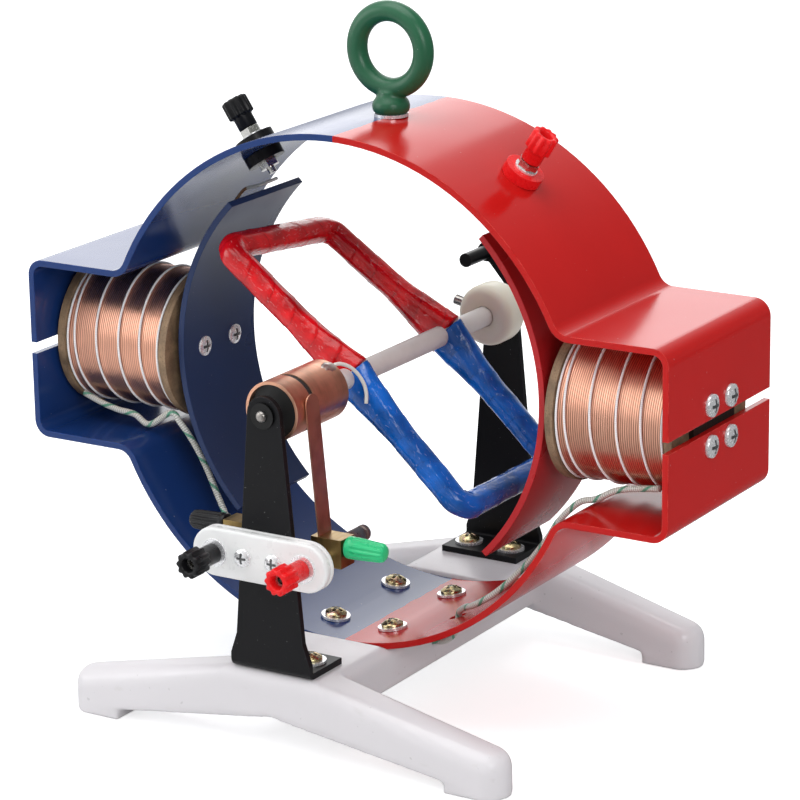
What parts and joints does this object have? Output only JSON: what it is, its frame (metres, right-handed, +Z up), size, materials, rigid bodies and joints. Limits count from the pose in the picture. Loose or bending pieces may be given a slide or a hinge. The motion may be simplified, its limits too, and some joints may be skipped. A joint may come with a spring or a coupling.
{
  "type": "hand crank generator model",
  "caption": "Classroom generator with a bent-strip yoke, wound field coils, taped armature on a crank shaft, split-ring commutator, strip brushes and plug terminals.",
  "frame": {"origin": "on the table, under the middle of the yoke and of the whole machine", "axes": "+X towards the red pole, +Y along the shaft towards the crank, +Z up"},
  "size_m": [0.3554, 0.2716, 0.3342],
  "materials": {
    "base_white": "semi-gloss white paint on a casting",
    "yoke_paint": "gloss paint, blue on the left and red on the right",
    "zinc_yellow": "yellow zinc plate",
    "zinc": "bright zinc plate",
    "core_iron": "plain soft iron",
    "bobbin_fibre": "brown laminated fibre",
    "copper_wire": "enamelled copper wire",
    "binding_cord": "white cotton cord",
    "shoe_blue": "dark blue gloss paint",
    "shoe_red": "red gloss paint",
    "support_black": "black satin paint",
    "bush_steel": "turned steel",
    "plate_white": "white moulded plastic",
    "nickel": "nickel plate",
    "knob_black": "black moulded plastic",
    "knob_red": "red moulded plastic",
    "cap_green": "green moulded plastic",
    "block_brass": "machined brass, tarnished",
    "brush_copper": "hard copper strip, tarnished",
    "eye_green": "dark green gloss paint on a forging",
    "lead_sleeve": "woven glass sleeving with a green tracer",
    "lead_brown": "brown enamelled wire",
    "shaft_steel": "ground steel",
    "sleeve_ivory": "pale plastic tube",
    "core_black": "black insulating core",
    "ring_copper": "copper tube with solder marks",
    "tape_red": "red adhesive tape",
    "tape_blue": "blue adhesive tape",
    "lead_white": "white insulated wire",
    "hub_nylon": "natural nylon",
    "crank_black": "black satin finish"
  },
  "bodies": {
    "frame": {"base_casting": "base_white", "yoke_upper": "yoke_paint", "yoke_lower": "yoke_paint", "fixing_screws": "zinc_yellow", "fixing_washers": "zinc", "pan_screws": "zinc", "pole_shoe_screws": "zinc", "post_washers": "zinc", "eye_bolt_nut": "zinc", "cores": "core_iron", "left_bobbin": "bobbin_fibre", "right_bobbin": "bobbin_fibre", "left_winding": "copper_wire", "right_winding": "copper_wire", "left_outer_turns": "copper_wire", "right_outer_turns": "copper_wire", "left_binding_cord": "binding_cord", "right_binding_cord": "binding_cord", "left_pole_shoe": "shoe_blue", "right_pole_shoe": "shoe_red", "front_support": "support_black", "rear_support": "support_black", "front_bush": "bush_steel", "rear_bush": "bush_steel", "terminal_plate": "plate_white", "plate_post_studs": "nickel", "yoke_post_studs": "nickel", "yoke_post_nuts": "nickel", "knurled_screws": "nickel", "black_insulators": "knob_black", "red_insulators": "knob_red", "left_brush_block": "block_brass", "right_brush_block": "block_brass", "left_brush": "brush_copper", "right_brush": "brush_copper", "eye_bolt": "eye_green", "left_field_lead": "lead_sleeve", "right_field_lead": "lead_sleeve", "post_leads": "lead_brown"},
    "rotor": {"shaft": "shaft_steel", "shaft_sleeve": "sleeve_ivory", "commutator_core": "core_black", "front_ring": "ring_copper", "rear_ring": "ring_copper", "armature_red": "tape_red", "armature_blue": "tape_blue", "armature_lead": "lead_white", "hub": "hub_nylon", "hub_set_screw": "shaft_steel", "crank_arm": "crank_black", "crank_pin": "shaft_steel"},
    "grip": {"crank_grip": "crank_black"},
    "black_plate_knob": {"black_plate_knob": "knob_black"},
    "red_plate_knob": {"red_plate_knob": "knob_red"},
    "black_yoke_knob": {"black_yoke_knob": "knob_black"},
    "red_yoke_knob": {"red_yoke_knob": "knob_red"},
    "left_clamp": {"left_clamp_screw": "nickel", "black_thumb_cap": "knob_black"},
    "right_clamp": {"right_clamp_screw": "nickel", "green_thumb_cap": "cap_green"}
  },
  "joints": [
    {"name": "rotor_spin", "type": "hinge", "parent": "frame", "child": "rotor", "pos_m": [0, 0, 0.1637], "axis": [0, 1, 0], "continuous": true},
    {"name": "grip_spin", "type": "hinge", "parent": "rotor", "child": "grip", "pos_m": [-0.02504, 0.122, 0.18362], "axis": [0, 1, 0], "continuous": true},
    {"name": "black_plate_knob_turn", "type": "hinge", "parent": "frame", "child": "black_plate_knob", "pos_m": [-0.0238, -0.114, 0.0976], "axis": [0, -1, 0], "range_deg": [0, 1080]},
    {"name": "black_yoke_knob_turn", "type": "hinge", "parent": "frame", "child": "black_yoke_knob", "pos_m": [-0.07677, 0, 0.26699], "axis": [-0.5519, 0, 0.8339], "range_deg": [0, 1080]},
    {"name": "red_plate_knob_turn", "type": "hinge", "parent": "frame", "child": "red_plate_knob", "pos_m": [0.0238, -0.114, 0.0976], "axis": [0, -1, 0], "range_deg": [0, 1080]},
    {"name": "red_yoke_knob_turn", "type": "hinge", "parent": "frame", "child": "red_yoke_knob", "pos_m": [0.07677, 0, 0.26699], "axis": [0.5519, 0, 0.8339], "range_deg": [0, 1080]},
    {"name": "left_clamp_turn", "type": "hinge", "parent": "frame", "child": "left_clamp", "pos_m": [-0.04, -0.09, 0.1024], "axis": [-1, 0, 0], "range_deg": [0, 720]},
    {"name": "right_clamp_turn", "type": "hinge", "parent": "frame", "child": "right_clamp", "pos_m": [0.04, -0.09, 0.1024], "axis": [1, 0, 0], "range_deg": [0, 720]}
  ]
}
